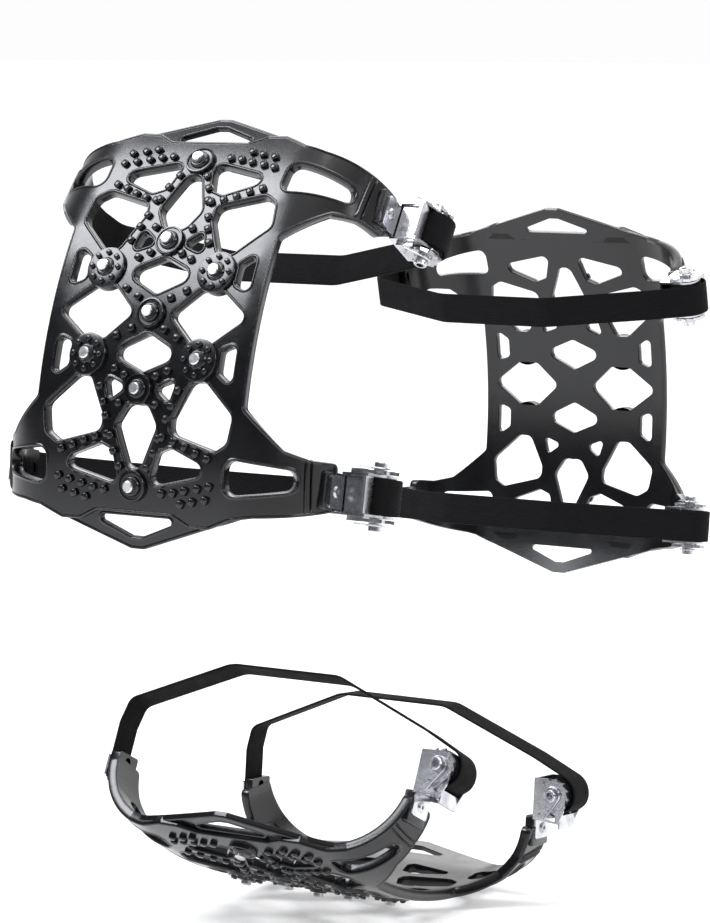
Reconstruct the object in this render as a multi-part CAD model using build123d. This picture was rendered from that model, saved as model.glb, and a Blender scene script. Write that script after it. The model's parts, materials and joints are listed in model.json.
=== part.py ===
from build123d import *
import os
from math import atan2, cos, degrees, hypot, radians, sin

# Tyre snow chains: three cross-mats spaced round one wheel. Each mat is a studded plastic lattice
# over the tread with four arms. Two ratchet buckles sit on the outboard arms, and two webbing
# straps run from their spools through the wheel to the inboard arms.
#
# Frame: origin at the wheel's centre, the wheel turns about Y, the buckle side faces -Y, Z is up.
# On a mat, u runs round the tread, v runs across it towards the buckles, and h is the height above
# the tyre. Millimetres.

os.makedirs("parts", exist_ok=True)

# ---- the tyre that the mats wrap, and the height above it at which u and v are true lengths
TYRE_R = 321.7
TREAD_HALF = 69.9
SHOULDER_R = 49.5
TRUE_H = 8.0

# ---- the mat
U_R = TYRE_R + TRUE_H
BEND_R = SHOULDER_R + TRUE_H
PLATE_T = 7.0
BAND_T = 4.0
PLATE_HALF_V = 82.0
PLATE_HALF_U = 135.0
ARM_U = (89.0, 133.0)
ARM_END_V = 157.0
NOTCH_STEPS = ((PLATE_HALF_V, 60.0), (112.0, 86.0), (128.0, ARM_U[0]))
NOTCH_FLARE = ((50.0, 82.0), (60.0, 82.0), (68.0, 97.0), (86.0, 112.0), (86.5, 116.0), (50.0, 116.0))
ROOFLINE = ((ARM_U[1], 90.0), (141.0, 60.0), (160.0, 4.0))
RAISED_EDGE = ((PLATE_HALF_U, 30.0), (141.5, 45.0), (143.0, 60.0))
ROOF_HALF_V = 90.0
BLANK_U = 164.0
RIDGE_T = 1.2
RIDGE_W = 1.8
RIDGE_V = (127.5, 132.0)
RIDGE_U = (91.0, 131.0)
FAR_U = 175.0
FAR_V = 177.0
BELOW = -8.0
ABOVE = 25.0

# ---- studs
STUD_R = 4.0
STUD_FLANGE_R = 6.5
STUD_FLANGE_T = 2.0
STUD_BOTTOM = 1.0
STUD_TOP = 14.5
STUD_TIP = 0.8
COLLAR_TOP = 10.0
CENTRE_STUDS = (-116.5, -52.0, 0.0, 52.0, 116.5)
SIDE_PAD = (30.5, 44.0)
COLLAR_R = 10.5
SIDE_PAD_R = 14.5

# ---- buckle seats: one on the end of each arm, with a block, and a rivet through it
ARM_ANGLE = 20.4
SEAT_R = 272.0
SEAT_Y = 126.0
SEAT_YAW = 10.0
BLOCK_T = 6.4
BLOCK_Y = (-21.0, 2.0)
BLOCK_HALF = 12.8
RIVET_R = 2.4
RIVET_HEAD_R = 3.8
RIVET_HEAD_T = 1.2

# ---- ratchet buckle: x along the spool, y down the sidewall to the hub, z away from the tyre.
# FIT is the play of the spool, and GLUE the gap between parts that are fixed together.
SHEET = 1.6
EAR_X = 14.2
TAB_HALF = 11.1
TAB_LENGTH = 15.2
BASE_END = 31.0
EAR_FRONT_TOP = (-1.8, 20.7)
EAR_SHOULDER = (7.0, 24.5)
EAR_R = 11.5
SPOOL_Y = 19.9
SPOOL_Z = 17.2
SHAFT_R = 4.5
SHAFT_HALF = 23.0
SHAFT_SLOT = 2.4
SHAFT_CHAMFER = 0.5
FIT = 0.05
GLUE = 0.02
DRIVE_R = 2.5
DRIVE_DEPTH = 8.0
WHEEL_X = (15.0, 17.2)
WHEEL_TEETH = 12
WHEEL_TIP_R = 13.0
WHEEL_ROOT_R = 10.8
WHEEL_FACE_ANGLE = 191.5
PAWL_Y = 3.5
PAWL_T = 1.8
PAWL_Z = (2.4, 21.4)
TONGUE_Z = (5.0, 17.4)
CLAW_NOSE = ((8.5, 13.3), (8.0, 13.9), (6.2, 14.1))
LIP_Y = -5.5
LIP_T = 1.6
PAWL_TONGUE_X = 17.4
PANEL = (13.0, 10.0)
PANEL_DEPTH = 0.4
WIRE_R = 0.6
WIRE_X = 19.0
WIRE_LEG = 18.0

# ---- webbing
STRAP_HALF = 12.0
STRAP_T = 1.8
ROLL_R = 13.6
ROLL_GAP = 0.35
RIM_CORNER = (46.0, -4.0)
WELL_CORNER = (76.0, -81.0)

# ---- the three units: angle round the wheel from +X towards +Z, and the names of their buckles
UNITS = {
    "front": (158.0, ("upper", "lower")),
    "bottom": (254.0, ("left", "right")),
    "rear": (3.0, ("lower", "upper")),
}


UP = (Align.CENTER, Align.CENTER, Align.MIN)


# ============================================================ surface of the tyre
def section(v, h):
    """Point of the cross-section, as (radius, y), at distance v from the tread's centre line."""
    side = 1 if v >= 0 else -1
    bend = max(0.0, abs(v) - TREAD_HALF) / BEND_R
    reach = min(abs(v), TREAD_HALF) + (SHOULDER_R + h) * sin(bend)
    return TYRE_R - SHOULDER_R + (SHOULDER_R + h) * cos(bend), -side * reach


def turn(u):
    """Turn about the wheel's axis that carries the unit's centre to u."""
    return Rot(0, degrees(u / U_R), 0)


def spot(u, v, h=0.0):
    """Place on the surface: x along v, y along u, z out of the tyre."""
    side = 1 if v >= 0 else -1
    bend = side * max(0.0, abs(v) - TREAD_HALF) / BEND_R
    radius, y = section(v, h)
    plane = Plane(
        origin=(radius, y, 0),
        x_dir=(-sin(bend), -cos(bend), 0),
        z_dir=(cos(bend), -sin(bend), 0),
    )
    return turn(u) * plane.location


def rail(v0, v1, h):
    """The cross-section line at height h from v0 to v1, as straight and arc edges."""
    stops = [v0] + [s for s in (-TREAD_HALF, TREAD_HALF) if v0 < s < v1] + [v1]
    edges = []
    for a, b in zip(stops, stops[1:]):
        middle = (a + b) / 2
        if abs(middle) < TREAD_HALF:
            edges.append(Line(section(a, h), section(b, h)))
        else:
            edges.append(ThreePointArc(section(a, h), section(middle, h), section(b, h)))
    return edges


def sector(v0, v1, h0, h1, u0, u1):
    """Slab that follows the tyre between two v, two heights and two u."""
    ends = [Line(section(v, h0), section(v, h1)) for v in (v0, v1)]
    face = make_face(rail(v0, v1, h0) + rail(v0, v1, h1) + ends)
    return turn(u0) * revolve(face, Axis.Y, degrees((u1 - u0) / U_R))


def prism(outline, h0, h1, corner=0.0):
    """Straight prism on the surface, from an outline of (u, v) points with rounded corners."""
    u_mid = sum(u for u, v in outline) / len(outline)
    v_mid = sum(v for u, v in outline) / len(outline)
    shrink = section(v_mid, 0)[0] / TYRE_R
    local = [(v - v_mid, (u - u_mid) * shrink) for u, v in outline]
    shape = Polygon(*local, align=None)
    if corner:
        shape = fillet(shape.vertices(), corner)
    return spot(u_mid, v_mid) * Pos(0, 0, h0) * extrude(shape, h1 - h0, dir=(0, 0, 1))


def quarters(outline):
    """The outline and its mirror images about both centre lines, without repeats."""
    found = {}
    for su in (1, -1):
        for sv in (1, -1):
            image = [(su * u, sv * v) for u, v in outline]
            found[frozenset((round(u, 3), round(v, 3)) for u, v in image)] = image
    return list(found.values())


# ============================================================ tread mat and studs
WINDOWS = (
    ([(116, 12), (104, 63), (90, 28), (94, 18)], 3.0),
    ([(104, -5), (104, 5), (75, 16), (62.5, 7), (62.5, -7), (75, -16)], 4.0),
    ([(80, 28), (89, 62), (84, 71), (66, 74), (45, 51), (45, 40), (70, 28)], 4.0),
    ([(50.5, 11), (60, 24), (44, 28)], 2.0),
    ([(28, -27.5), (40, 0), (28, 27.5), (14, 0)], 3.0),
    ([(38, 60), (46, 71), (18, 71), (23, 60)], 2.5),
    ([(0, 15), (18, 34), (18, 51), (0, 74), (-18, 51), (-18, 34)], 3.0),
    ([(94, 71), (119, 71), (114, 122), (100, 122)], 5.0),
    ([(137.5, -38), (137.5, 38), (151.5, 4), (151.5, -4)], 2.0),
)


def stud_places():
    places = [(u, 0.0) for u in CENTRE_STUDS]
    return places + [(su * SIDE_PAD[0], sv * SIDE_PAD[1]) for su in (1, -1) for sv in (1, -1)]


def arm_notch(side):
    """Cutters for the open gap between the two arms of one side, with its flared corners."""
    cuts = []
    for v0, half in NOTCH_STEPS:
        low, high = sorted((side * v0, side * FAR_V))
        cuts.append(sector(low, high, BELOW, ABOVE, -half, half))
    for su in (1, -1):
        cuts.append(prism([(su * u, side * v) for u, v in NOTCH_FLARE], BELOW, ABOVE))
    return cuts


def end_cutters(end):
    """Cutters for one end: outside the roof-shaped band, and above its thinner middle."""
    outside = list(ROOFLINE) + [(u, -v) for u, v in reversed(ROOFLINE)]
    outside += [(FAR_U, -ROOF_HALF_V), (FAR_U, ROOF_HALF_V)]
    step = list(RAISED_EDGE) + [(FAR_U, RAISED_EDGE[-1][1])]
    step += [(u, -v) for u, v in reversed(step)]
    cuts = [prism([(end * u, v) for u, v in outside], 3 * BELOW, 2 * ABOVE)]
    cuts.append(prism([(end * u, v) for u, v in step], BAND_T, 2 * ABOVE))
    low, high = sorted((end * ARM_U[1], end * FAR_U))
    for side in (1, -1):
        v_low, v_high = sorted((side * (ROOF_HALF_V - 2.0), side * FAR_V))
        cuts.append(sector(v_low, v_high, BELOW, ABOVE, low, high))
    return cuts


def arm_end(mat, u_side, side):
    """The mat with one arm's seat block, a flat top on it, the two ridges and the rivet holes."""
    end = seat(u_side, side)
    y0, y1 = BLOCK_Y
    mat += end * Pos(0, (y0 + y1) / 2, -BLOCK_T) * Box(2 * BLOCK_HALF, y1 - y0, BLOCK_T, align=UP)
    mat -= end * Pos(0, y0 / 2 + 2.5, 0) * Box(34.0, 28.0, 8.0, align=UP)
    for v0 in RIDGE_V:
        v_low, v_high = sorted((side * v0, side * (v0 + RIDGE_W)))
        u_low, u_high = sorted(u_side * u for u in RIDGE_U)
        mat += sector(v_low, v_high, PLATE_T - 1, PLATE_T + RIDGE_T, u_low, u_high)
    for y in rivet_rows(side):
        place = end * Pos(0, y, 0)
        mat -= place * Cylinder(RIVET_R + GLUE, 40)
        mat -= place * Pos(0, 0, -BLOCK_T) * Cylinder(RIVET_HEAD_R + GLUE, 2 * RIVET_HEAD_T)
    return mat


def tread_mat():
    mat = sector(-ARM_END_V, ARM_END_V, 0, PLATE_T, -BLANK_U, BLANK_U)
    for side in (1, -1):
        for cut in arm_notch(side):
            mat -= cut
    for end in (1, -1):
        for cut in end_cutters(end):
            mat -= cut
    for side in (1, -1):
        for u_side in (1, -1):
            mat = arm_end(mat, u_side, side)
    for outline, corner in WINDOWS:
        for image in quarters(outline):
            mat -= prism(image, BELOW, ABOVE, corner)
    for u, v in stud_places():
        radius = SIDE_PAD_R if v else COLLAR_R
        place = spot(u, v)
        mat += place * Pos(0, 0, 0.5) * Cylinder(radius, COLLAR_TOP - 0.5, align=UP)
    for u, v in stud_places():
        place = spot(u, v)
        mat -= place * Cylinder(STUD_R + GLUE, ABOVE, align=UP)
        flange = Cylinder(STUD_FLANGE_R + GLUE, 3 * STUD_FLANGE_T, align=UP)
        mat -= place * Pos(0, 0, -STUD_FLANGE_T) * flange
    return mat


def studs():
    """Steel studs: a flange under the mat, a round shank and a bevelled tip."""
    tip_z = STUD_TOP - STUD_TIP
    pin = Pos(0, 0, STUD_BOTTOM) * Cylinder(STUD_FLANGE_R, STUD_FLANGE_T, align=UP)
    pin += Pos(0, 0, STUD_BOTTOM) * Cylinder(STUD_R, tip_z - STUD_BOTTOM, align=UP)
    pin += Pos(0, 0, tip_z) * Cone(STUD_R, STUD_R - STUD_TIP, STUD_TIP, align=UP)
    return Compound([spot(u, v) * pin for u, v in stud_places()])


# ============================================================ buckles
def seat(u_side, side):
    """Place of an arm's end: u_side is +1 or -1 along u, side is +1 outboard and -1 inboard."""
    plane = Plane(
        origin=(SEAT_R, -side * SEAT_Y, 0),
        x_dir=(0, 0, side),
        z_dir=(0, -side, 0),
    )
    return Rot(0, u_side * ARM_ANGLE, 0) * plane.location * Rot(0, 0, side * u_side * SEAT_YAW)


def rivet_rows(side):
    """Distances of the rivets from the seat: one holds a buckle, two hold a strap clamp."""
    return (-TAB_LENGTH / 2,) if side > 0 else (-13.0, -4.0)


def across(profile, x0, x1):
    """Solid from a (y, z) face drawn in the XY plane, between two x."""
    plane = Plane(origin=(x0, 0, 0), x_dir=(0, 1, 0), z_dir=(1, 0, 0))
    return plane.location * extrude(profile, x1 - x0, dir=(0, 0, 1))


def ear_profile():
    front = Polygon(
        (0, 0),
        EAR_FRONT_TOP,
        EAR_SHOULDER,
        (SPOOL_Y, SPOOL_Z + EAR_R),
        (SPOOL_Y + EAR_R, SPOOL_Z),
        (BASE_END, 0),
        align=None,
    )
    ear = front + Pos(SPOOL_Y, SPOOL_Z) * Circle(EAR_R)
    ear -= Pos(SPOOL_Y, SPOOL_Z) * Circle(SHAFT_R + FIT)
    slot = Polygon((2.2, 4.6), (4.9, 4.6), (4.9, 18.2), (-0.3, 18.2), align=None)
    return ear - slot


def ratchet_frame():
    tab = Pos(0, (BASE_END - TAB_LENGTH) / 2) * Rectangle(2 * TAB_HALF, BASE_END + TAB_LENGTH)
    base = tab + Pos(0, BASE_END / 2) * Rectangle(2 * EAR_X, BASE_END)
    outer = base.vertices().filter_by(lambda p: p.Y < -TAB_LENGTH + 1)
    base = fillet(outer, 2.5)
    frame = extrude(base, SHEET, dir=(0, 0, 1))
    frame -= Pos(0, -TAB_LENGTH / 2, 0) * Cylinder(RIVET_R + GLUE, 10)
    for x in (EAR_X - SHEET, -EAR_X):
        frame += across(ear_profile(), x, x + SHEET)
    return frame


def spool():
    """Shaft with a slot for the webbing and a round socket in each end."""
    shaft = Cylinder(SHAFT_R, 2 * SHAFT_HALF)
    shaft -= Box(4 * SHAFT_R, SHAFT_SLOT, 2 * STRAP_HALF + 4 * ROLL_GAP)
    for end in (1, -1):
        shaft -= Pos(0, 0, end * (SHAFT_HALF - DRIVE_DEPTH / 2)) * Cylinder(DRIVE_R, DRIVE_DEPTH)
    shaft = chamfer(shaft.faces().sort_by(Axis.Z)[0].outer_wire().edges(), SHAFT_CHAMFER)
    shaft = chamfer(shaft.faces().sort_by(Axis.Z)[-1].outer_wire().edges(), SHAFT_CHAMFER)
    return Pos(0, SPOOL_Y, SPOOL_Z) * Rot(0, 90, 0) * shaft


def wheel_profile():
    """Saw-toothed ratchet wheel: steep faces look down, where the pawl stops them."""
    points = []
    for tooth in range(WHEEL_TEETH):
        face = WHEEL_FACE_ANGLE + tooth * 360 / WHEEL_TEETH
        for radius, angle in ((WHEEL_TIP_R, face), (WHEEL_ROOT_R, face + 2)):
            points.append((radius * cos(radians(angle)), radius * sin(radians(angle))))
    return Pos(SPOOL_Y, SPOOL_Z) * Polygon(*points, align=None)


def ratchet_wheels():
    profile = wheel_profile() - Pos(SPOOL_Y, SPOOL_Z) * Circle(SHAFT_R + GLUE)
    x0, x1 = WHEEL_X
    return Compound([across(profile, x0, x1), across(profile, -x1, -x0)])


def pawl():
    """Rocking plate: a web between the ears, tongues out of both, a claw on each and a thumb lip."""
    back, front = PAWL_Y - PAWL_T / 2, PAWL_Y + PAWL_T / 2
    low, high = PAWL_Z
    web = Polygon((back, low), (front, low), (front, high), (back, high), align=None)
    top = high + 0.2
    lip = Polygon((LIP_Y, top), (LIP_Y, top - LIP_T), (front - 0.6, top - LIP_T), (front, top), align=None)
    inner = EAR_X - SHEET - 0.3
    body = across(web + lip, -inner, inner)
    body -= Pos(0, back, sum(TONGUE_Z) / 2) * Box(PANEL[0], 2 * PANEL_DEPTH, PANEL[1])
    low, high = TONGUE_Z
    tongue = Polygon((back, low), (front, low), (front, high), (back, high), align=None)
    body += across(tongue, -PAWL_TONGUE_X, PAWL_TONGUE_X)
    claw = Polygon((front - 1, 6.5), (front, 6.5), *CLAW_NOSE, (front - 1, 17.0), align=None)
    inside, outside = WHEEL_X
    for x in (inside - 0.2, -outside):
        body += across(claw, x, x + outside - inside + 0.2)
    return body


def pawl_springs():
    """A wire on each side: hooked round the spool's end, then straight down to the tongue."""
    hook = SHAFT_R + 1.0 + WIRE_R
    springs = []
    for x in (WIRE_X, -WIRE_X):
        plane = Plane(origin=(x, 0, 0), x_dir=(0, 1, 0), z_dir=(1, 0, 0))
        arc = Pos(SPOOL_Y, SPOOL_Z) * CenterArc((0, 0), hook, -100, 225)
        leg = Line(arc @ 1, arc @ 1 + (arc % 1) * WIRE_LEG)
        route = plane.location * (arc + leg)
        section_plane = Plane(origin=route @ 0, z_dir=route % 0)
        springs.append(sweep(section_plane * Circle(WIRE_R), path=route))
    return Compound(springs)


def strap_roll():
    roll = Cylinder(ROLL_R, 2 * STRAP_HALF) - Cylinder(SHAFT_R + GLUE, 3 * STRAP_HALF)
    return Pos(0, SPOOL_Y, SPOOL_Z) * Rot(0, 90, 0) * roll


def strap():
    """Webbing from the roll, over the rim's edge, through the wheel and up to the inboard arm."""
    lead = ROLL_R + ROLL_GAP + STRAP_T / 2
    dy, dz = RIM_CORNER[0] - SPOOL_Y, RIM_CORNER[1] - SPOOL_Z
    tangent = atan2(dz, dy) + radians(90) - atan2(lead, (hypot(dy, dz) ** 2 - lead**2) ** 0.5)
    start = (SPOOL_Y + lead * cos(tangent), SPOOL_Z + lead * sin(tangent))
    across_wheel = -2 * SEAT_Y
    far_seat = across_wheel - STRAP_T / 2
    corners = [
        start,
        RIM_CORNER,
        WELL_CORNER,
        (WELL_CORNER[0], across_wheel - WELL_CORNER[1]),
        (RIM_CORNER[0] - 4, far_seat + 4),
        (24.0, far_seat),
        (-17.0, far_seat),
    ]
    line = FilletPolyline(*corners, radius=(9, 25, 25, 9, 9))
    return across(trace(line, STRAP_T), -STRAP_HALF, STRAP_HALF)


def rivet_shank(top):
    """Rivet from its head under the seat block up to a height above the seat."""
    shank = Pos(0, 0, -BLOCK_T) * Cylinder(RIVET_R, BLOCK_T + top, align=UP)
    return shank + Pos(0, 0, -BLOCK_T) * Cylinder(RIVET_HEAD_R, RIVET_HEAD_T, align=UP)


def frame_rivet():
    """Rivet of a buckle: a ring-shaped head that stands on the tab."""
    rivet = rivet_shank(SHEET) + Pos(0, 0, SHEET) * Cone(4.2, 3.2, 1.3, align=UP)
    return rivet - Pos(0, 0, SHEET + 0.4) * Cylinder(1.5, 4, align=UP)


def clamp_plate():
    plate = Pos(0, -8.5) * RectangleRounded(2 * TAB_HALF + 2, 19.0, 2.5)
    for y in rivet_rows(-1):
        plate -= Pos(0, y) * Circle(RIVET_R + GLUE)
    return Pos(0, 0, STRAP_T) * extrude(plate, SHEET, dir=(0, 0, 1))


def anchor_rivet():
    top = STRAP_T + SHEET
    return rivet_shank(top) + Pos(0, 0, top) * Cone(4.0, 2.6, 1.6, align=UP)


# ============================================================ the units
def build_unit(name, angle, buckles):
    place = Rot(0, -angle, 0)

    def save(shape, node):
        export_step(place * shape, f"parts/{name}_{node}.step")

    save(MAT, "tread_mat")
    save(STUDS, "studs")
    for u_side, buckle in zip((1, -1), buckles):
        outboard = seat(u_side, 1)
        for node, shape in BUCKLE.items():
            save(outboard * shape, f"{buckle}_{node}")
    seats = [seat(u_side, 1) for u_side in (1, -1)]
    anchors = [seat(u_side, -1) for u_side in (1, -1)]
    save(Compound([s * Pos(0, rivet_rows(1)[0], 0) * RIVET for s in seats]), "frame_rivets")
    save(Compound([a * CLAMP for a in anchors]), "strap_clamps")
    pins = [a * Pos(0, y, 0) * ANCHOR_RIVET for a in anchors for y in rivet_rows(-1)]
    save(Compound(pins), "clamp_rivets")


MAT = tread_mat()
STUDS = studs()
RIVET = frame_rivet()
CLAMP = clamp_plate()
ANCHOR_RIVET = anchor_rivet()
STRAP = strap()
for y in rivet_rows(-1):
    STRAP -= Pos(0, y, -2 * SEAT_Y) * Cylinder(RIVET_R + GLUE, 20)
BUCKLE = {
    "ratchet_frame": ratchet_frame(),
    "spool": spool(),
    "ratchet_wheels": ratchet_wheels(),
    "pawl": pawl(),
    "pawl_springs": pawl_springs(),
    "strap_roll": strap_roll(),
    "strap": STRAP,
}
for unit_name, (unit_angle, unit_buckles) in UNITS.items():
    build_unit(unit_name, unit_angle, unit_buckles)
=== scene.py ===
import json
import math

import bpy
from mathutils import Matrix, Vector
from mathutils.geometry import delaunay_2d_cdt


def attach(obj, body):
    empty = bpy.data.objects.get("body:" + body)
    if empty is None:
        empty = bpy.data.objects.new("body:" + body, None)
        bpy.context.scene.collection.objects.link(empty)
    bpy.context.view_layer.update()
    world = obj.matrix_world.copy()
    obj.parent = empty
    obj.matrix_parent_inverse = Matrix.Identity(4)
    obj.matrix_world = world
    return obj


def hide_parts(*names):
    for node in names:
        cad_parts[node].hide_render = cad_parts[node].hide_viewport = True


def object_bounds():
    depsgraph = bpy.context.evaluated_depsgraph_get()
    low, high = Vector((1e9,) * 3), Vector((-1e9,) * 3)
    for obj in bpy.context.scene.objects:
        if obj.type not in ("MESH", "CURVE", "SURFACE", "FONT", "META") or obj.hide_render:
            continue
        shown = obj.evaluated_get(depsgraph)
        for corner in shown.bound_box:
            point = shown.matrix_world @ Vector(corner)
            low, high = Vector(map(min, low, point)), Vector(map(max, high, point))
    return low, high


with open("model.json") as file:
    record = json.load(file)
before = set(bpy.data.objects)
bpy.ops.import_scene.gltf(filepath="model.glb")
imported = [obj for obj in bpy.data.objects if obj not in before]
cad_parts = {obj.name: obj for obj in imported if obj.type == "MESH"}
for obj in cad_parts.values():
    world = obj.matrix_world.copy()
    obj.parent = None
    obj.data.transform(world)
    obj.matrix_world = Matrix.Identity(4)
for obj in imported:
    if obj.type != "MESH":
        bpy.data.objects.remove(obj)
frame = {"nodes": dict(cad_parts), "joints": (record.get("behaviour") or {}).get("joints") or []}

CAD_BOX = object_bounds()
MM = 0.001

# ---- the tyre's section that the mats follow, in millimetres
TYRE_R = 321.7
TREAD_HALF = 69.9
SHOULDER_R = 49.5
U_R = TYRE_R + 8.0
BEND_R = SHOULDER_R + 8.0

# ---- the mat, in millimetres: u runs round the tread, v across it to the buckles, h out of the tyre
PLATE_T = 7.0
BAND_T = 4.0
ARM_END_V = 156.0
CENTRE_STUDS = (-116.5, -52.0, 0.0, 52.0, 116.5)
SIDE_PAD = (30.5, 44.0)
COLLAR_R = 10.6
SIDE_PAD_R = 14.5
PAD_TOP = 9.8
PAD_KNOB_CIRCLE = 10.3
STUD_R = 4.0
ARM_RIDGES_U = (91.5, 132.0)
ARM_RIDGES_V = (127.5, 132.0)

# ---- the buckle seats and the webbing, in millimetres
ARM_ANGLE = 20.4
SEAT_R = 272.0
SEAT_Y = 126.0
SEAT_YAW = 10.0
BLOCK_T = 6.4
BLOCK_HALF = 12.8
BLOCK_Y = (-21.0, 2.0)
SPOOL_Y = 19.9
SPOOL_Z = 17.2
ROLL_R = 13.6
STRAP_T = 1.8
ROLL_GAP = 0.35
FEATHER_STEPS = 14
STRAP_START = 165.0
RIM_CORNER = (46.0, -4.0)
RIM_BEND = 9
WELL_CORNER = (76.0, -81.0)
WELL_BEND = 25

# ---- the camera, fitted to the wheel in the photograph: degrees, tyre radii and millimetres of lens
VIEW_AZIMUTH = -59.577
VIEW_ELEVATION = 7.393
VIEW_DISTANCE = 7.6905
VIEW_AIM = (-0.0602, -0.0318)
VIEW_LENS = 129.1

# ---- the softboxes, in metres and watts: name, place, what it faces, size, power, colour
WHITE = (1.0, 1.0, 1.0)
LIGHTS = (
    ("key", (-1.25, 1.4, 2.05), (-0.2, 0, 0.05), (1.5, 1.2), 80.0, (0.93, 0.95, 1.0)),
    ("front", (-0.5, -2.3, 1.35), (-0.1, 0, 0), (1.2, 0.6), 20.0, WHITE),
    ("top", (0.4, -0.2, 2.8), (0.1, 0, 0), (1.8, 1.8), 40.0, WHITE),
    ("back", (2.6, 0.6, 1.7), (0.9, 0, -0.3), (2.4, 1.6), 40.0, WHITE),
)

UNITS = {"front": ("upper", "lower"), "bottom": ("left", "right"), "rear": ("lower", "upper")}
JOINTS = {joint["name"]: joint for joint in frame["joints"]}


# ============================================================ placing things
def unit_angle(unit):
    """Angle of a unit's centre round the wheel, from where its two spools are."""
    places = [JOINTS[f"{unit}_{b}_spool_turn"]["pos_m"] for b in UNITS[unit]]
    return math.atan2(sum(p[2] for p in places), sum(p[0] for p in places))


def unit_matrix(unit):
    return Matrix.Rotation(-unit_angle(unit), 4, "Y")


def warp(u, v, h):
    """Point of a unit centred on +X, in metres, from its place on the tyre in millimetres."""
    side = 1 if v >= 0 else -1
    bend = max(0.0, abs(v) - TREAD_HALF) / BEND_R
    reach = min(abs(v), TREAD_HALF) + (SHOULDER_R + h) * math.sin(bend)
    radius = TYRE_R - SHOULDER_R + (SHOULDER_R + h) * math.cos(bend)
    angle = -u / U_R
    return Vector((radius * math.cos(angle), -side * reach, radius * math.sin(angle))) * MM


def seat_matrix(u_side, side):
    """Frame of an arm's end in a unit centred on +X: x along the spool, y to the hub, z out."""
    x_dir = Vector((0, 0, side))
    z_dir = Vector((0, -side, 0))
    y_dir = z_dir.cross(x_dir)
    base = Matrix((x_dir, y_dir, z_dir)).transposed().to_4x4()
    base.translation = Vector((SEAT_R, -side * SEAT_Y, 0)) * MM
    spin = Matrix.Rotation(math.radians(side * u_side * SEAT_YAW), 4, "Z")
    return Matrix.Rotation(math.radians(u_side * ARM_ANGLE), 4, "Y") @ base @ spin


def piece_of(name, mesh, matrix, body, material, smooth=40.0):
    """Object of a mesh, shaded smooth up to that angle, that rides on a body of the part."""
    piece = bpy.data.objects.new(name, mesh)
    bpy.context.scene.collection.objects.link(piece)
    piece.matrix_world = matrix
    if material.name not in mesh.materials:
        mesh.materials.append(material)
    mesh.shade_smooth()
    mesh.set_sharp_from_angle(angle=math.radians(smooth))
    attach(piece, body)
    return piece


# ============================================================ outlines
def rounded(points, radius, grow, arc_steps=5, stride=4.0):
    """Closed loop of an outline, counter-clockwise, with rounded corners, grown outward by grow.

    Its number of points doesn't depend on grow, so loops of one outline join ring to ring."""
    area = sum(a[0] * b[1] - b[0] * a[1] for a, b in zip(points, points[1:] + points[:1]))
    ring = [Vector(p) for p in (points if area > 0 else list(reversed(points)))]
    count = len(ring)
    loop = []
    corners = []
    for i, corner in enumerate(ring):
        before = (corner - ring[i - 1]).normalized()
        after = (ring[(i + 1) % count] - corner).normalized()
        cross = before.x * after.y - before.y * after.x
        turn = math.atan2(cross, before.dot(after))
        room = min((corner - ring[i - 1]).length, (ring[(i + 1) % count] - corner).length) * 0.48
        tangent = min(radius * math.tan(abs(turn) / 2), room)
        fillet = tangent / math.tan(abs(turn) / 2) if abs(turn) > 1e-3 else 0.0
        corners.append((corner, before, after, turn, tangent, fillet))
    for i, (corner, before, after, turn, tangent, fillet) in enumerate(corners):
        start = corner - before * tangent
        side = 1 if turn > 0 else -1
        centre = start + Vector((-before.y, before.x)) * side * fillet
        out = Vector((before.y, -before.x)) * side
        for step in range(arc_steps + 1):
            angle = turn * step / arc_steps
            spoke = Matrix.Rotation(angle, 2) @ out
            loop.append(centre + spoke * (fillet + side * grow))
        end = corner + after * tangent
        following = corners[(i + 1) % count]
        goal = following[0] - following[1] * following[4]
        stretch = (goal - end).length
        pieces = max(1, round(stretch / stride))
        shift = Vector((after.y, -after.x)) * grow
        for step in range(1, pieces):
            loop.append(end + (goal - end) * step / pieces + shift)
    return loop


def inside(point, loop):
    found = False
    previous = loop[-1]
    for current in loop:
        if (current.y > point.y) != (previous.y > point.y):
            cut = (previous.x - current.x) * (point.y - current.y) / (previous.y - current.y)
            if point.x < cut + current.x:
                found = not found
        previous = current
    return found


def circle_points(u, v, radius, count):
    steps = [math.tau * i / count for i in range(count)]
    return [(u + radius * math.cos(a), v + radius * math.sin(a)) for a in steps]


def quarters(outline):
    """The outline and its mirror images about both centre lines, without repeats."""
    found = {}
    for su in (1, -1):
        for sv in (1, -1):
            image = [(su * u, sv * v) for u, v in outline]
            found[frozenset((round(u, 3), round(v, 3)) for u, v in image)] = image
    return list(found.values())


class Shell:
    """Vertices and faces of one mesh, with how worn each vertex is."""

    def __init__(self):
        self.verts = []
        self.faces = []
        self.wear = []

    def add(self, point, wear=0.0):
        self.verts.append(point)
        self.wear.append(wear)
        return len(self.verts) - 1

    def ring(self, points, wear=0.0):
        return [self.add(p, wear) for p in points]

    def bridge(self, low, high, closed=True):
        count = len(low)
        for i in range(count if closed else count - 1):
            j = (i + 1) % count
            self.faces.append((low[i], low[j], high[j], high[i]))

    def piece(self, name, matrix, body, material, smooth=40.0):
        mesh = bpy.data.meshes.new(name)
        mesh.from_pydata([tuple(v) for v in self.verts], [], self.faces)
        layer = mesh.attributes.new("wear", "FLOAT", "POINT")
        layer.data.foreach_set("value", self.wear)
        mesh.update()
        return piece_of(name, mesh, matrix, body, material, smooth)


# the lipped edge of a moulded slab: how far in from the outline, and how far below the top
EDGE = ((2.4, 0.0), (2.0, -0.12), (1.6, -0.45), (1.1, -0.6), (0.6, -0.42), (0.2, 0.1), (0.0, 0.9))


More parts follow.
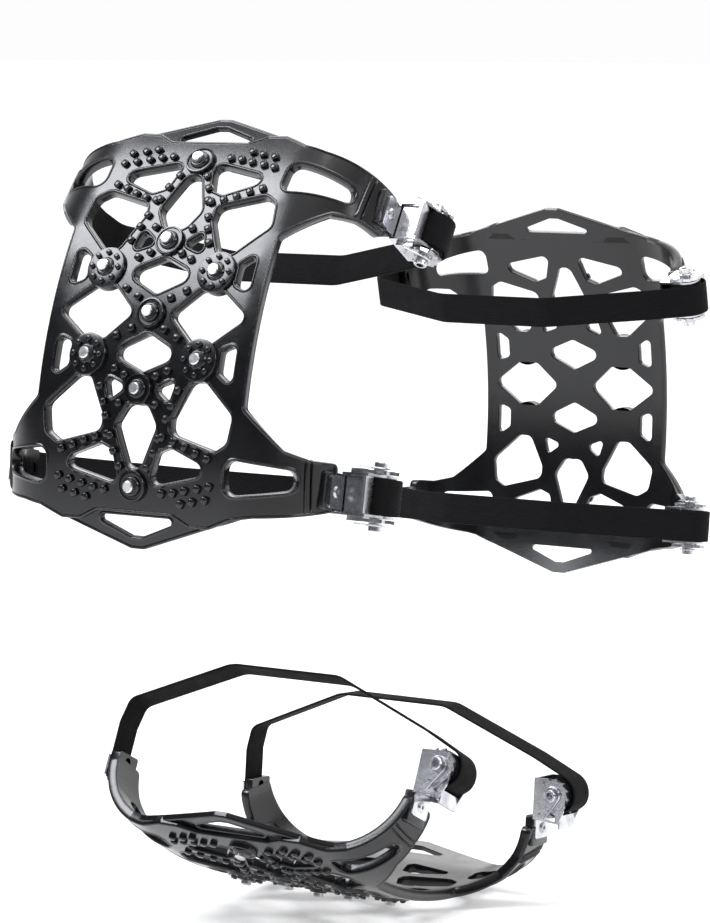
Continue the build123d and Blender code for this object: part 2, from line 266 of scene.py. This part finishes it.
def moulded_slab(shell, outline, holes, thickness, bottom=0.0, grid=5.0):
    """Slab over the tyre with rounded upper edges: outline and holes are (points, radius)."""
    edges = [(outline, -1)] + [(hole, 1) for hole in holes]
    cap_loops = []
    cap_top = []
    cap_low = []
    for (points, radius), sign in edges:
        rings = []
        for inset, drop in EDGE:
            loop = rounded(points, radius, sign * inset)
            if not rings:
                cap_loops.append(loop)
            wear = 1.0 if drop < -0.4 else 0.0
            rings.append(shell.ring([warp(p.x, p.y, thickness - drop) for p in loop], wear))
        foot = rounded(points, radius, -sign * 0.35)
        rings.append(shell.ring([warp(p.x, p.y, bottom + 0.5) for p in foot]))
        sole = rounded(points, radius, 0.0)
        rings.append(shell.ring([warp(p.x, p.y, bottom) for p in sole]))
        for low, high in zip(rings, rings[1:]):
            shell.bridge(*((high, low) if sign < 0 else (low, high)))
        cap_top += rings[0]
        cap_low += rings[-1]
    fill_caps(shell, cap_loops, cap_top, cap_low, thickness, bottom, grid)


def fill_caps(shell, loops, cap_top, cap_low, thickness, bottom, grid):
    """Top and bottom faces of a slab, triangulated finely enough to follow the tyre."""
    points = [p for loop in loops for p in loop]
    edges = []
    start = 0
    for loop in loops:
        edges += [(start + i, start + (i + 1) % len(loop)) for i in range(len(loop))]
        start += len(loop)
    near = {(round(p.x / grid), round(p.y / grid)): [] for p in points}
    for p in points:
        near[(round(p.x / grid), round(p.y / grid))].append(p)
    us = [p.x for p in points]
    vs = [p.y for p in points]
    extra = []
    for i in range(int(min(us) / grid), int(max(us) / grid) + 1):
        for j in range(int(min(vs) / grid), int(max(vs) / grid) + 1):
            spot = Vector((i * grid, j * grid))
            around = [q for a in (-1, 0, 1) for b in (-1, 0, 1) for q in near.get((i + a, j + b), ())]
            if any((q - spot).length < 0.45 * grid for q in around):
                continue
            if inside(spot, loops[0]) and not any(inside(spot, loop) for loop in loops[1:]):
                extra.append(spot)
    found, _, triangles, origins, _, _ = delaunay_2d_cdt(points + extra, edges, [], 0, 1e-6)
    top = list(cap_top)
    low = list(cap_low)
    for p in extra:
        top.append(shell.add(warp(p.x, p.y, thickness)))
        low.append(shell.add(warp(p.x, p.y, bottom)))
    index = [origin[0] for origin in origins]
    for triangle in triangles:
        middle = sum((found[k] for k in triangle), Vector((0, 0))) / 3
        if not inside(middle, loops[0]) or any(inside(middle, loop) for loop in loops[1:]):
            continue
        a, b, c = (found[k] for k in triangle)
        order = triangle if (b - a).cross(c - a) > 0 else (triangle[0], triangle[2], triangle[1])
        i, j, k = (index[n] for n in order)
        shell.faces.append((top[i], top[k], top[j]))
        shell.faces.append((low[i], low[j], low[k]))


# ============================================================ the mat
OUTLINE_QUARTER = (
    (135.0, 30.0), (141.5, 43.0), (142.0, 58.0), (134.5, 76.0), (132.5, 92.0), (132.0, ARM_END_V),
    (94.0, ARM_END_V), (92.0, 132.0), (86.0, 112.0), (60.0, 82.5),
)
WINDOWS = (
    ([(116.5, 11.5), (104, 64), (89.5, 28), (93.5, 18)], 5.0),
    ([(105, -5), (105, 5), (76, 16.5), (62, 8), (62, -8), (76, -16.5)], 7.0),
    ([(80.5, 27.5), (90, 62), (84, 71.5), (66, 74.5), (44.5, 51), (44.5, 40), (70, 27.5)], 7.0),
    ([(50.5, 10.5), (60.5, 24), (43.5, 28.5)], 3.0),
    ([(28, -28.5), (40.5, 0), (28, 28.5), (13.5, 0)], 5.5),
    ([(38, 59.5), (46.5, 71.5), (17.5, 71.5), (22.5, 59.5)], 4.0),
    ([(0, 14.5), (18.5, 34), (18.5, 51), (0, 75), (-18.5, 51), (-18.5, 34)], 5.0),
    ([(94, 71), (119, 71), (114, 122), (100, 122)], 7.0),
)
BAND_OUTLINE = (
    (124.0, -80.0), (133.0, -86.0), (141.0, -60.0), (160.0, -5.0),
    (160.0, 5.0), (141.0, 60.0), (133.0, 86.0), (124.0, 80.0),
)
BAND_WINDOW = ((137.5, -38.0), (137.5, 38.0), (151.5, 4.0), (151.5, -4.0))
KNOBS = (
    (122, 57), (124, 47), (126, 38), (113, 60), (115, 51), (117, 41), (119, 32), (120, 23),
    (95, 58), (92, 49), (88, 40), (85, 31), (83, 22),
    (104, 11), (94, 16), (84, 19), (71, 24), (62, 27), (62, 14.5), (51.5, 31), (39, 21), (43, 12.5),
    (16.5, 24), (11, 13),
)


# turned forms that stand on the mat: radius, height over the tyre, wear
COLLAR_FORM = (
    (COLLAR_R, 0.6, 0), (COLLAR_R, 9.2, 0), (COLLAR_R - 0.5, 9.9, 1), (9.2, 10.0, 0), (8.7, 9.1, 0),
    (6.9, 9.0, 0), (6.3, 10.8, 0), (5.7, 11.3, 1), (STUD_R + 0.7, 11.3, 0), (STUD_R, 10.9, 0),
    (STUD_R, 6.0, 0),
)
PAD_FORM = (
    (SIDE_PAD_R, 0.6, 0), (SIDE_PAD_R, 8.9, 0), (SIDE_PAD_R - 0.5, 9.6, 1), (13.2, PAD_TOP, 0),
    (6.9, 9.7, 0), (6.2, 10.9, 0), (5.6, 11.4, 1), (STUD_R + 0.7, 11.4, 0), (STUD_R, 11.0, 0),
    (STUD_R, 6.0, 0),
)


def mirrored_outline():
    first = list(OUTLINE_QUARTER)
    second = [(-u, v) for u, v in reversed(first)]
    third = [(-u, -v) for u, v in first]
    fourth = [(u, -v) for u, v in reversed(first)]
    return first + second + third + fourth


def lathe(shell, u, v, profile, count=40):
    """Turned form standing on the mat at (u, v): profile is (radius, height, wear)."""
    rings = []
    for radius, height, wear in profile:
        points = circle_points(u, v, radius, count)
        rings.append(shell.ring([warp(a, b, height) for a, b in points], wear))
    for low, high in zip(rings, rings[1:]):
        shell.bridge(high, low)


def knob(shell, u, v, base, radius=2.75, height=2.9, turn=0.4):
    """Small grip knob: a rounded square stub."""
    rings = []
    for scale, rise, wear in ((1.15, -0.4, 0), (1.02, 0.55, 0), (0.9, 0.86, 1), (0.66, 1.0, 0.5)):
        points = []
        for k in range(12):
            angle = math.tau * k / 12 + turn
            square = 1.0 + 0.12 * math.cos(4 * (angle - turn))
            reach = radius * scale * square
            spot = (u + reach * math.cos(angle), v + reach * math.sin(angle))
            points.append(warp(*spot, base + rise * height))
        rings.append(shell.ring(points, wear))
    for low, high in zip(rings, rings[1:]):
        shell.bridge(high, low)
    shell.faces.append(tuple(reversed(rings[-1])))


def bead(shell, u0, u1, v, height, width=2.4, lift=1.9):
    """Low ridge across an arm."""
    steps = 14
    lines = []
    for offset, rise in ((-1.0, -0.6), (-0.7, 0.4), (0.0, 1.0), (0.7, 0.4), (1.0, -0.6)):
        row = []
        for k in range(steps + 1):
            fade = min(1.0, 12.0 * min(k, steps - k) / steps)
            u = u0 + (u1 - u0) * k / steps
            row.append(warp(u, v + offset * width / 2, height + lift * (rise * fade - (1 - fade) * 0.6)))
        lines.append(shell.ring(row, 1.0 if rise > 0.5 else 0.0))
    for low, high in zip(lines, lines[1:]):
        shell.bridge(low, high, closed=False)


def rounded_box(shell, matrix, low, high, radius=1.0, corner_steps=3):
    """Block with rounded upright and upper edges, in a local frame in millimetres."""
    outline = [(low[0], low[1]), (high[0], low[1]), (high[0], high[1]), (low[0], high[1])]
    rings = []
    top = high[2]
    levels = ((0.0, low[2], 0), (0.0, top - radius, 0), (0.3, top - 0.3 * radius, 1), (1.0, top, 1))
    for inset, z, wear in levels:
        loop = rounded(outline, 2.0, -inset * radius, corner_steps, 8.0)
        rings.append(shell.ring([matrix @ (Vector((p.x, p.y, z)) * MM) for p in loop], wear))
    for lower, upper in zip(rings, rings[1:]):
        shell.bridge(lower, upper)
    shell.faces.append(tuple(rings[-1]))
    shell.faces.append(tuple(reversed(rings[0])))


def mat_shell():
    shell = Shell()
    holes = [(image, corner) for outline, corner in WINDOWS for image in quarters(outline)]
    moulded_slab(shell, (mirrored_outline(), 5.0), holes, PLATE_T)
    for end in (1, -1):
        outline = [(end * u, v) for u, v in BAND_OUTLINE]
        window = [(end * u, v) for u, v in BAND_WINDOW]
        moulded_slab(shell, (outline, 4.0), [(window, 2.5)], BAND_T)
    for u in CENTRE_STUDS:
        lathe(shell, u, 0.0, COLLAR_FORM)
    for u, v in quarters_of(SIDE_PAD):
        lathe(shell, u, v, PAD_FORM, 48)
        for a, b in circle_points(u, v, PAD_KNOB_CIRCLE, 8):
            knob(shell, a, b, PAD_TOP, radius=1.95, height=1.8, turn=0.0)
    for point in KNOBS:
        for u, v in quarters_of(point):
            knob(shell, u, v, PLATE_T, turn=0.35 if u * v > 0 else -0.35)
    for u_side in (1, -1):
        for side in (1, -1):
            low, high = sorted((u_side * ARM_RIDGES_U[0], u_side * ARM_RIDGES_U[1]))
            for v in ARM_RIDGES_V:
                bead(shell, low, high, side * v, PLATE_T)
            corners = ((-BLOCK_HALF, BLOCK_Y[0], -BLOCK_T), (BLOCK_HALF, BLOCK_Y[1], 0.0))
            rounded_box(shell, seat_matrix(u_side, side), *corners)
    return shell


def quarters_of(point):
    u, v = point
    signs_u = (1, -1) if u else (1,)
    signs_v = (1, -1) if v else (1,)
    return [(a * u, b * v) for a in signs_u for b in signs_v]


# ============================================================ materials
class Nodes:
    """A material with a Principled shader, and short ways to add nodes to it."""

    def __init__(self, name):
        self.material = bpy.data.materials.new(name)
        self.material.use_nodes = True
        self.tree = self.material.node_tree
        self.shader = self.tree.nodes["Principled BSDF"]

    def set(self, **values):
        for key, value in values.items():
            self.shader.inputs[key.replace("_", " ")].default_value = value

    def add(self, kind, **settings):
        node = self.tree.nodes.new("ShaderNode" + kind)
        for key, value in settings.items():
            if key in node.inputs:
                node.inputs[key].default_value = value
            else:
                setattr(node, key, value)
        return node

    def link(self, source, target):
        self.tree.links.new(source, target)

    def coords(self, scale=(1, 1, 1)):
        where = self.add("TexCoord")
        mapping = self.add("Mapping", Scale=scale)
        self.link(where.outputs["Object"], mapping.inputs["Vector"])
        return mapping.outputs["Vector"]

    def noise(self, vector, scale, detail=3.0, roughness=0.55):
        node = self.add("TexNoise", Scale=scale, Detail=detail, Roughness=roughness)
        self.link(vector, node.inputs["Vector"])
        return node.outputs["Fac"]

    def range(self, value, low, high, to_low, to_high):
        node = self.add("MapRange")
        for key, number in zip((1, 2, 3, 4), (low, high, to_low, to_high)):
            node.inputs[key].default_value = number
        self.link(value, node.inputs[0])
        return node.outputs[0]

    def mix(self, factor, first, second):
        node = self.add("Mix", data_type="RGBA")
        sockets = [s for s in node.inputs if s.type == "RGBA"]
        for socket, colour in zip(sockets, (first, second)):
            if isinstance(colour, tuple):
                socket.default_value = (*colour, 1.0)
            else:
                self.link(colour, socket)
        self.link(factor, node.inputs[0])
        return next(s for s in node.outputs if s.type == "RGBA")

    def math(self, operation, a, b=None):
        node = self.add("Math", operation=operation)
        for socket, value in zip(node.inputs, (a, b)):
            if value is None:
                continue
            if isinstance(value, (int, float)):
                socket.default_value = value
            else:
                self.link(value, socket)
        return node.outputs[0]

    def bump(self, height, strength, distance, after=None):
        node = self.add("Bump", Strength=strength, Distance=distance)
        self.link(height, node.inputs["Height"])
        if after is not None:
            self.link(after, node.inputs["Normal"])
        return node.outputs["Normal"]


def moulded_plastic():
    m = Nodes("moulded_elastomer")
    where = m.coords()
    worn = m.add("Attribute", attribute_name="wear").outputs["Fac"]
    cloud = m.noise(where, 28.0, 4.0)
    speck = m.noise(where, 420.0, 3.0)
    grain = m.noise(where, 1700.0, 2.0)
    dust = m.range(cloud, 0.42, 0.7, 0.0, 0.55)
    base = m.mix(dust, (0.0025, 0.0026, 0.0034), (0.0055, 0.0057, 0.007))
    scuff = m.math("MULTIPLY", worn, m.range(speck, 0.45, 0.62, 0.15, 1.0))
    m.link(m.mix(scuff, base, (0.02, 0.021, 0.025)), m.shader.inputs["Base Color"])
    rough = m.math("ADD", m.range(cloud, 0.3, 0.7, 0.17, 0.25), m.range(speck, 0.3, 0.7, -0.015, 0.03))
    m.link(rough, m.shader.inputs["Roughness"])
    soft = m.bump(speck, 0.06, 0.0003)
    m.link(m.bump(grain, 0.08, 0.0001, soft), m.shader.inputs["Normal"])
    m.set(Specular_IOR_Level=0.5)
    return m.material


def plated_steel(name, light, dark, rough_low, rough_high, spangle=260.0):
    """Zinc-plated sheet: cloudy plating, fine rolling lines and a few darker stains."""
    m = Nodes(name)
    where = m.coords()
    lines = m.noise(m.coords((60, 900, 900)), 2.4, 3.0)
    cloud = m.noise(where, 90.0, 4.0)
    crystal = m.add("TexVoronoi", Scale=spangle)
    m.link(where, crystal.inputs["Vector"])
    stain = m.range(m.noise(where, 45.0, 5.0, 0.65), 0.56, 0.78, 0.0, 0.45)
    base = m.mix(m.range(cloud, 0.3, 0.7, 0.0, 1.0), light, dark)
    m.link(m.mix(stain, base, tuple(0.62 * c for c in dark)), m.shader.inputs["Base Color"])
    spread = m.math("ADD", m.range(cloud, 0.3, 0.7, rough_low, rough_high),
                    m.range(crystal.outputs["Distance"], 0.0, 0.6, -0.03, 0.04))
    m.link(spread, m.shader.inputs["Roughness"])
    m.link(m.bump(lines, 0.06, 0.00012), m.shader.inputs["Normal"])
    m.set(Metallic=1.0)
    return m.material


def webbing_cloth():
    """Black woven webbing: ribs along the strap, crossed by the weft."""
    m = Nodes("webbing_weave")
    place = m.add("Attribute", attribute_name="weave", attribute_type="GEOMETRY")
    split = m.add("SeparateXYZ")
    m.link(place.outputs["Vector"], split.inputs[0])
    along, over = split.outputs[0], split.outputs[1]
    ribs = m.math("ABSOLUTE", m.math("SINE", m.math("MULTIPLY", over, math.pi / 0.0014)))
    row = m.math("MULTIPLY", along, math.pi / 0.0011)
    half = m.math("MULTIPLY", m.math("FLOOR", m.math("MULTIPLY", over, 1 / 0.0014)), math.pi / 2)
    weft = m.math("ABSOLUTE", m.math("SINE", m.math("ADD", row, half)))
    weave = m.math("MULTIPLY", m.math("ADD", ribs, 0.35), m.math("ADD", weft, 0.5))
    where = m.coords()
    fuzz = m.noise(where, 2600.0, 2.0)
    cloud = m.noise(where, 70.0, 3.0)
    base = m.mix(m.range(weave, 0.3, 1.7, 0.0, 1.0), (0.002, 0.002, 0.0024), (0.0075, 0.0075, 0.0085))
    lint = m.range(m.math("MULTIPLY", fuzz, cloud), 0.22, 0.45, 0.0, 0.4)
    m.link(m.mix(lint, base, (0.016, 0.016, 0.018)), m.shader.inputs["Base Color"])
    m.link(m.range(cloud, 0.3, 0.7, 0.72, 0.9), m.shader.inputs["Roughness"])
    height = m.bump(fuzz, 0.15, 0.0002)
    m.link(m.bump(weave, 0.8, 0.0004, height), m.shader.inputs["Normal"])
    m.set(Specular_IOR_Level=0.12)
    return m.material


# ============================================================ webbing
def feathered(step):
    """Share of the webbing's thickness at each step from the thin edge where it leaves the roll."""
    return min(1.0, 0.15 + step / FEATHER_STEPS)


def strap_line():
    """Centre line of a strap in a seat's (y, z), in millimetres: off the roll and through the wheel."""
    lead = ROLL_R + ROLL_GAP + STRAP_T / 2
    dy, dz = RIM_CORNER[0] - SPOOL_Y, RIM_CORNER[1] - SPOOL_Z
    reach = math.sqrt(dy * dy + dz * dz - lead * lead)
    leave = math.atan2(dz, dy) + math.pi / 2 - math.atan2(lead, reach)
    first = math.radians(STRAP_START)
    line = []
    steps = 34
    for k in range(steps + 1):
        part = k / steps
        angle = first + (leave - first) * part
        radius = lead - STRAP_T / 2 * (1 - feathered(k))
        line.append(Vector((SPOOL_Y + radius * math.cos(angle), SPOOL_Z + radius * math.sin(angle))))
    far = -2 * SEAT_Y
    far_seat = far - STRAP_T / 2
    corners = [line[-1], Vector(RIM_CORNER), Vector(WELL_CORNER)]
    corners += [Vector((WELL_CORNER[0], far - WELL_CORNER[1])), Vector((RIM_CORNER[0] - 4, far_seat + 4))]
    corners += [Vector((24.0, far_seat)), Vector((-17.0, far_seat))]
    return line + rounded_path(corners, (RIM_BEND, WELL_BEND, WELL_BEND, RIM_BEND, RIM_BEND))[1:]


def rounded_path(corners, radii, stride=2.5):
    """Open path with its inner corners rounded, as closely spaced points."""
    path = [corners[0]]
    for before, corner, after, radius in zip(corners, corners[1:], corners[2:], radii):
        arrive = (corner - before).normalized()
        depart = (after - corner).normalized()
        turn = math.atan2(arrive.x * depart.y - arrive.y * depart.x, arrive.dot(depart))
        tangent = radius * math.tan(abs(turn) / 2)
        side = 1 if turn > 0 else -1
        start = corner - arrive * tangent
        centre = start + Vector((-arrive.y, arrive.x)) * side * radius
        steps = max(4, round(abs(turn) * radius / 1.2))
        extend_path(path, start, stride)
        for k in range(1, steps + 1):
            spoke = Matrix.Rotation(turn * k / steps, 2) @ (start - centre)
            path.append(centre + spoke)
    extend_path(path, corners[-1], stride)
    return path


def extend_path(path, goal, stride):
    last = path[-1]
    pieces = max(1, round((goal - last).length / stride))
    path += [last + (goal - last) * k / pieces for k in range(1, pieces + 1)]


# upper side of the webbing's section: how far across, and how far out from its centre line
STRAP_SECTION = (
    (-12.0, 0.0), (-11.7, 0.62), (-10.9, 0.9), (-10.2, 0.82), (-6.0, 0.86), (0.0, 0.88), (6.0, 0.86),
    (10.2, 0.82), (10.9, 0.9), (11.7, 0.62), (12.0, 0.0),
)
ROLL_SECTION = (
    (-11.9, 0.0), (-11.6, 0.7), (-10.8, 0.88), (0.0, 0.88), (10.8, 0.88), (11.6, 0.7), (11.9, 0.0),
)


def strap_mesh(name, line, section=STRAP_SECTION, feather=False):
    """Band swept along a line in a seat's frame, with its weave coordinates in metres."""
    ring = list(section) + [(x, -n) for x, n in reversed(section[1:-1])]
    verts, faces, weave = [], [], []
    along = 0.0
    for i, point in enumerate(line):
        ahead = line[min(i + 1, len(line) - 1)]
        behind = line[max(i - 1, 0)]
        tangent = (ahead - behind).normalized()
        normal = Vector((-tangent.y, tangent.x))
        along += (point - behind).length * MM if i else 0.0
        share = feathered(i) if feather else 1.0
        for x, n in ring:
            place = point + normal * n * share
            verts.append(Vector((x, place.x, place.y)) * MM)
            weave.append((along, x * MM, 0.0))
    size = len(ring)
    for i in range(len(line) - 1):
        for k in range(size):
            a, b = i * size + k, i * size + (k + 1) % size
            faces.append((a, b, b + size, a + size))
    faces.append(tuple(range(size - 1, -1, -1)))
    faces.append(tuple(len(verts) - size + k for k in range(size)))
    return woven_mesh(name, verts, faces, weave)


def woven_mesh(name, verts, faces, weave):
    mesh = bpy.data.meshes.new(name)
    mesh.from_pydata([tuple(v) for v in verts], [], faces)
    layer = mesh.attributes.new("weave", "FLOAT_VECTOR", "POINT")
    layer.data.foreach_set("vector", [c for w in weave for c in w])
    mesh.update()
    return mesh


def roll_mesh(name):
    """The wound webbing: one spiral band, whose turns show at its edges."""
    inner, outer = 4.7, ROLL_R - STRAP_T / 2
    turns = int((outer - inner) / STRAP_T)
    steps = 56 * turns
    line = []
    for k in range(steps + 1):
        angle = math.radians(150) - math.tau * turns * (1 - k / steps)
        radius = outer - (outer - inner) * (1 - k / steps)
        line.append(Vector((SPOOL_Y + radius * math.cos(-angle), SPOOL_Z + radius * math.sin(-angle))))
    return strap_mesh(name, line, ROLL_SECTION)


# ============================================================ putting the units together
MOULDED = moulded_plastic()
ZINC = plated_steel("zinc_plate", (0.7, 0.705, 0.73), (0.5, 0.505, 0.53), 0.15, 0.26)
STUD_STEEL = plated_steel("stud_steel", (0.72, 0.72, 0.74), (0.55, 0.55, 0.57), 0.24, 0.36, 500.0)
RIVET_STEEL = plated_steel("rivet_steel", (0.62, 0.62, 0.64), (0.42, 0.42, 0.44), 0.2, 0.34, 400.0)
WIRE = plated_steel("spring_wire", (0.7, 0.7, 0.72), (0.45, 0.45, 0.47), 0.16, 0.26, 600.0)
WEBBING = webbing_cloth()
NODE_MATERIALS = {
    "studs": STUD_STEEL, "ratchet_frame": ZINC, "spool": ZINC, "ratchet_wheels": ZINC, "pawl": ZINC,
    "pawl_springs": WIRE, "frame_rivets": RIVET_STEEL, "strap_clamps": ZINC, "clamp_rivets": RIVET_STEEL,
}


def finish_metal():
    """Metal CAD nodes keep their shape: they get their material and a fine rolled edge."""
    for name, node in frame["nodes"].items():
        for ending, material in NODE_MATERIALS.items():
            if name.endswith(ending):
                node.data.materials.clear()
                node.data.materials.append(material)
                bevel = node.modifiers.new("edge", "BEVEL")
                bevel.width = 0.25 * MM
                bevel.segments = 2
                bevel.limit_method = "ANGLE"
                bevel.angle_limit = math.radians(40)
                bevel.harden_normals = True


def build_units():
    mat = mat_shell()
    mat_mesh = None
    line = strap_line()
    strap = strap_mesh("strap_band", line, feather=True)
    roll = roll_mesh("strap_roll_band")
    for unit, buckles in UNITS.items():
        place = unit_matrix(unit)
        body = f"{unit}_unit"
        if mat_mesh is None:
            piece = mat.piece(f"{unit}_mat_moulding", place, body, MOULDED)
            mat_mesh = piece.data
        else:
            piece = piece_of(f"{unit}_mat_moulding", mat_mesh, place, body, MOULDED)
        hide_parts(f"{unit}_tread_mat")
        for u_side, buckle in zip((1, -1), buckles):
            node = f"{unit}_{buckle}"
            matrix = place @ seat_matrix(u_side, 1)
            band = piece_of(f"{node}_webbing", strap, matrix, body, WEBBING)
            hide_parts(f"{node}_strap")
            wound = piece_of(f"{node}_wound_webbing", roll, matrix, f"{node}_winder", WEBBING)
            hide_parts(f"{node}_strap_roll")


# ============================================================ stage
def area_light(name, place, target, size, power, colour):
    data = bpy.data.lights.new(name, "AREA")
    data.shape = "RECTANGLE"
    data.size, data.size_y = size
    data.energy = power
    data.color = colour
    light = bpy.data.objects.new(name, data)
    bpy.context.scene.collection.objects.link(light)
    light.location = place
    light.rotation_euler = (Vector(target) - Vector(place)).to_track_quat("-Z", "Y").to_euler()


def pale_floor():
    m = Nodes("pale_floor")
    cloud = m.noise(m.coords(), 3.0)
    m.link(m.mix(cloud, (0.62, 0.62, 0.625), (0.66, 0.66, 0.66)), m.shader.inputs["Base Color"])
    m.set(Roughness=0.7, Emission_Color=(1.0, 1.0, 1.0, 1.0))
    away = m.add("VectorMath", operation="LENGTH")
    m.link(m.coords(), away.inputs[0])
    m.link(m.range(away.outputs["Value"], 0.8, 5.0, 0.36, 0.62), m.shader.inputs["Emission Strength"])
    lowest = CAD_BOX[0][2]
    mesh = bpy.data.meshes.new("floor")
    reach = 60.0
    corners = [(-reach, -reach), (reach, -reach), (reach, reach), (-reach, reach)]
    mesh.from_pydata([(x, y, lowest - 0.0006) for x, y in corners], [], [(0, 1, 2, 3)])
    mesh.materials.append(m.material)
    floor = bpy.data.objects.new("floor", mesh)
    bpy.context.scene.collection.objects.link(floor)


def soft_world():
    """Bright dome with a darker band on the camera's side, so that metal and gloss have contrast."""
    world = bpy.data.worlds.new("studio")
    bpy.context.scene.world = world
    world.use_nodes = True
    tree = world.node_tree
    where = tree.nodes.new("ShaderNodeTexCoord")
    split = tree.nodes.new("ShaderNodeSeparateXYZ")
    tree.links.new(where.outputs["Generated"], split.inputs[0])
    light = tree.nodes.new("ShaderNodeMath")
    light.operation = "MAXIMUM"
    for slot, (axis, dark_below, bright_above) in enumerate(((0, 0.1, 0.8), (2, 0.55, 0.9))):
        share = tree.nodes.new("ShaderNodeMapRange")
        share.inputs["From Min"].default_value = dark_below
        share.inputs["From Max"].default_value = bright_above
        tree.links.new(split.outputs[axis], share.inputs["Value"])
        tree.links.new(share.outputs["Result"], light.inputs[slot])
    ramp = tree.nodes.new("ShaderNodeValToRGB")
    ramp.color_ramp.elements[0].color = (0.13, 0.133, 0.145, 1)
    ramp.color_ramp.elements[1].color = (0.985, 0.985, 0.99, 1)
    tree.links.new(light.outputs[0], ramp.inputs[0])
    tree.links.new(ramp.outputs[0], tree.nodes["Background"].inputs[0])


def camera():
    """Camera at the photograph's viewing angle, level, a little above the hub."""
    azimuth, elevation = math.radians(VIEW_AZIMUTH), math.radians(VIEW_ELEVATION)
    back = Vector((math.sin(azimuth) * math.cos(elevation), -math.cos(azimuth) * math.cos(elevation),
                   math.sin(elevation)))
    right = Vector((math.cos(azimuth), math.sin(azimuth), 0.0))
    up = back.cross(right)
    aim = (right * VIEW_AIM[0] + up * VIEW_AIM[1]) * TYRE_R * MM
    data = bpy.data.cameras.new("camera")
    data.sensor_width = 36.0
    data.sensor_fit = "AUTO"
    data.lens = VIEW_LENS
    data.clip_start = 0.01
    seen = bpy.data.objects.new("camera", data)
    bpy.context.scene.collection.objects.link(seen)
    rotation = Matrix((right, up, back)).transposed().to_4x4()
    rotation.translation = aim + back * VIEW_DISTANCE * TYRE_R * MM
    seen.matrix_world = rotation
    bpy.context.scene.camera = seen


finish_metal()
build_units()
camera()
pale_floor()
soft_world()
bpy.context.scene.view_settings.view_transform = "Standard"
for softbox in LIGHTS:
    area_light(*softbox)
